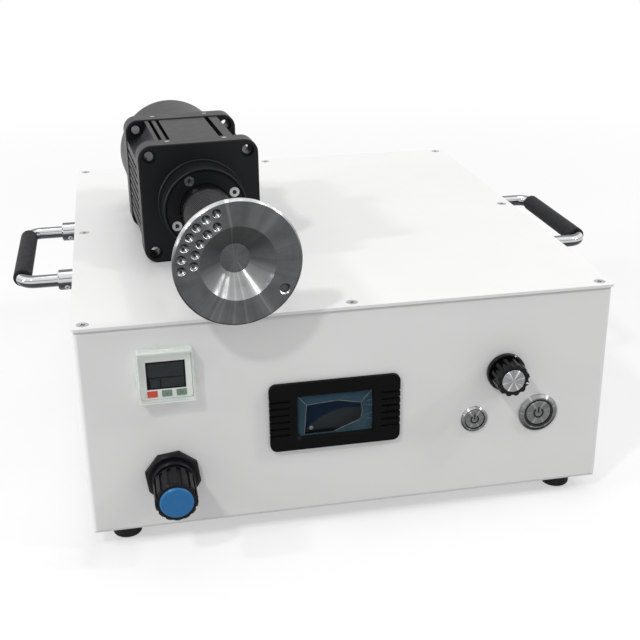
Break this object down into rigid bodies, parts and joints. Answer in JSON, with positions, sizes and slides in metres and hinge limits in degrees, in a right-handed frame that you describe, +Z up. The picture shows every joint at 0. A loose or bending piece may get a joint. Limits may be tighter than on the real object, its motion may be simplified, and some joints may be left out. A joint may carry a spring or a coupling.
{
  "type": "plasma surface treater",
  "caption": "Bench cabinet with gas and power controls on its front, side handles, and a separate rotary plasma nozzle head resting on its lid.",
  "frame": {"origin": "bottom centre of the part's box: on the bench under the middle of the whole part", "axes": "+X to the right seen from the front, +Y to the rear, +Z up; the control panel faces -Y"},
  "size_m": [0.4536, 0.456, 0.248],
  "materials": {
    "powder_coat": "white powder coat, fine texture",
    "chrome_tube": "polished chrome plate",
    "stainless": "turned stainless steel",
    "black_rubber": "matt black rubber",
    "black_plastic": "black moulded plastic, fine grain",
    "display_glass": "tinted display window",
    "display_module": "dark liquid crystal panel",
    "white_plastic": "white moulded plastic",
    "clear_plastic": "clear polycarbonate",
    "red_plastic": "red moulded plastic",
    "grey_plastic": "grey-green moulded plastic",
    "blue_plastic": "blue moulded plastic",
    "turned_aluminium": "turned aluminium",
    "black_anodised": "black anodised aluminium, satin",
    "bearing_steel": "ground bearing steel",
    "brass_fitting": "nickel-plated brass",
    "supply_case": "mill-finish aluminium case",
    "transformer_core": "laminated core, varnished",
    "circuit_board": "green circuit board"
  },
  "bodies": {
    "cabinet": {"base_tray": "powder_coat", "front_panel": "powder_coat", "rear_panel": "powder_coat", "lid_plate": "powder_coat", "lid_screws": "stainless", "rubber_feet": "black_rubber", "left_handle": "chrome_tube", "right_handle": "chrome_tube", "left_grip": "black_rubber", "right_grip": "black_rubber", "handle_ferrules": "chrome_tube", "meter_bezel": "black_plastic", "meter_window": "display_glass", "meter_display": "display_module", "switch_body": "white_plastic", "switch_display": "display_module", "start_button_body": "stainless", "power_button_body": "stainless", "panel_nuts": "stainless", "power_pot": "bearing_steel", "regulator_body": "black_plastic", "regulator_nut": "black_plastic", "mains_inlet": "black_plastic", "fan_frame": "black_plastic", "gas_fittings": "brass_fitting", "head_socket": "brass_fitting", "power_supply": "supply_case", "hv_transformer": "transformer_core", "control_board": "circuit_board", "solenoid_valve": "brass_fitting"},
    "head_unit": {"head_front_flange": "black_anodised", "head_barrel": "black_anodised", "head_rear_flange": "black_anodised", "head_rear_cover": "black_anodised", "head_bearing_cap": "black_anodised", "bearing_cap_screws": "stainless", "flange_screws": "stainless", "head_bearings": "bearing_steel", "motor_stator": "bearing_steel", "electrode": "bearing_steel", "head_cable_gland": "black_plastic", "head_gas_nipple": "brass_fitting"},
    "nozzle_unit": {"nozzle_shaft": "black_anodised", "nozzle_disc": "stainless", "nozzle_tip": "brass_fitting"},
    "power_knob_unit": {"power_knob": "black_plastic", "power_knob_cap": "turned_aluminium", "pot_shaft": "bearing_steel"},
    "spindle_unit": {"regulator_spindle": "bearing_steel"},
    "gas_knob_unit": {"regulator_knob": "black_plastic", "regulator_cap": "blue_plastic"},
    "start_cap_unit": {"start_button_cap": "stainless"},
    "power_cap_unit": {"power_button_cap": "stainless"},
    "meter_key_unit": {"meter_key": "black_plastic"},
    "set_key_unit": {"switch_key_set": "red_plastic"},
    "up_key_unit": {"switch_key_up": "grey_plastic"},
    "down_key_unit": {"switch_key_down": "grey_plastic"},
    "cover_unit": {"switch_cover": "clear_plastic"},
    "drawer_unit": {"fuse_drawer": "black_plastic"},
    "fan_unit": {"fan_rotor": "black_plastic"}
  },
  "joints": [
    {"name": "head_lift", "type": "slide", "parent": "cabinet", "child": "head_unit", "axis": [0, 0, 1], "range_m": [0, 0.15]},
    {"name": "nozzle_spin", "type": "hinge", "parent": "head_unit", "child": "nozzle_unit", "pos_m": [-0.0861, -0.0754, 0.205], "axis": [0.0664, -0.9978, 0], "continuous": true},
    {"name": "power_turn", "type": "hinge", "parent": "cabinet", "child": "power_knob_unit", "pos_m": [0.106, -0.192, 0.1045], "axis": [0, -1, 0], "range_deg": [-150, 150]},
    {"name": "gas_turn", "type": "hinge", "parent": "cabinet", "child": "spindle_unit", "pos_m": [-0.1243, -0.192, 0.051], "axis": [0, -1, 0], "range_deg": [-720, 720]},
    {"name": "gas_knob_pull", "type": "slide", "parent": "spindle_unit", "child": "gas_knob_unit", "axis": [0, -1, 0], "range_m": [0, 0.003]},
    {"name": "start_press", "type": "slide", "parent": "cabinet", "child": "start_cap_unit", "axis": [0, 1, 0], "range_m": [0, 0.0025], "stiffness_N_per_m": 600, "springref_m": -0.0025},
    {"name": "power_press", "type": "slide", "parent": "cabinet", "child": "power_cap_unit", "axis": [0, 1, 0], "range_m": [0, 0.003], "stiffness_N_per_m": 600, "springref_m": -0.003},
    {"name": "meter_key_press", "type": "slide", "parent": "cabinet", "child": "meter_key_unit", "axis": [0, 1, 0], "range_m": [0, 0.0004], "stiffness_N_per_m": 1500, "springref_m": -0.0004},
    {"name": "set_key_press", "type": "slide", "parent": "cabinet", "child": "set_key_unit", "axis": [0, 1, 0], "range_m": [0, 0.0004], "stiffness_N_per_m": 1500, "springref_m": -0.0004},
    {"name": "up_key_press", "type": "slide", "parent": "cabinet", "child": "up_key_unit", "axis": [0, 1, 0], "range_m": [0, 0.0004], "stiffness_N_per_m": 1500, "springref_m": -0.0004},
    {"name": "down_key_press", "type": "slide", "parent": "cabinet", "child": "down_key_unit", "axis": [0, 1, 0], "range_m": [0, 0.0004], "stiffness_N_per_m": 1500, "springref_m": -0.0004},
    {"name": "cover_pull", "type": "slide", "parent": "cabinet", "child": "cover_unit", "axis": [0, -1, 0], "range_m": [0, 0.02]},
    {"name": "drawer_slide", "type": "slide", "parent": "cabinet", "child": "drawer_unit", "axis": [0, 1, 0], "range_m": [0, 0.015]},
    {"name": "fan_spin", "type": "hinge", "parent": "cabinet", "child": "fan_unit", "pos_m": [0.108, 0.208, 0.086], "axis": [0, 1, 0], "continuous": true}
  ]
}
